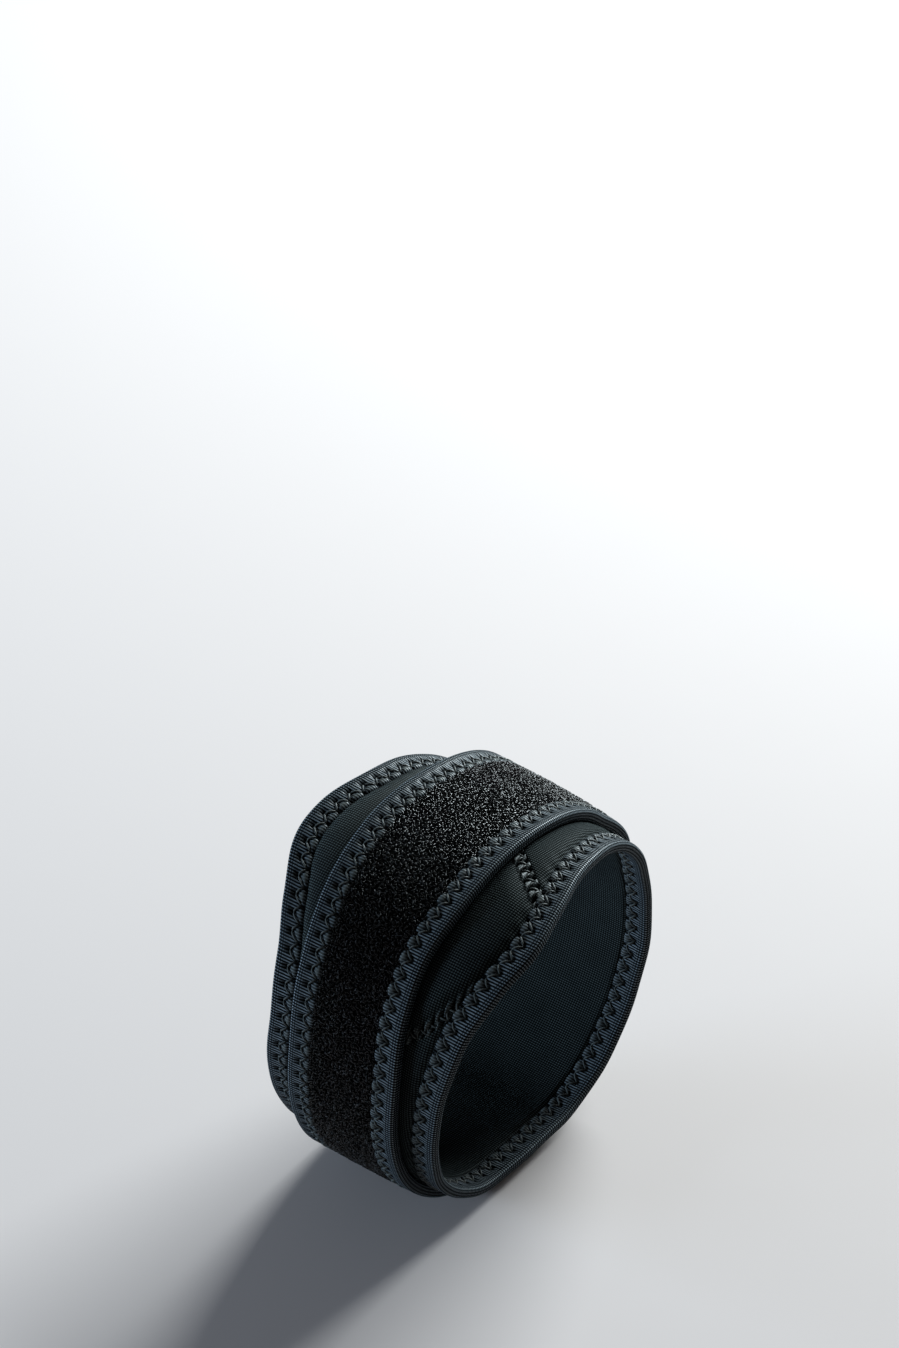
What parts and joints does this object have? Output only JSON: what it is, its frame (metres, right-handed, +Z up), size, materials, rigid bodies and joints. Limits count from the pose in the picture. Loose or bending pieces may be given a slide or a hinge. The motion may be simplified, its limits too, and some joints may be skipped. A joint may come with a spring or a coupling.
{
  "type": "elbow support band",
  "caption": "Contoured padded forearm band with ribbed bound edges and a loop-faced strap wrapped over it, worn just below the elbow to support it.",
  "frame": {"origin": "middle of the flat on the underside of the strap, where the support rests on a surface", "axes": "+X along the forearm towards the wrist, +Z up, the support lying on its side with the pad at the upper front"},
  "size_m": [0.0786, 0.115, 0.1077],
  "materials": {
    "jersey": "black fine-ribbed knit over foam",
    "binding": "charcoal ribbed binding tape, zigzag stitched",
    "pile": "black looped pile"
  },
  "bodies": {
    "root": {"band_body": "jersey", "pad_panel": "jersey", "band_binding_distal": "binding", "band_binding_proximal": "binding", "strap_body": "pile", "strap_binding": "binding"}
  },
  "joints": []
}
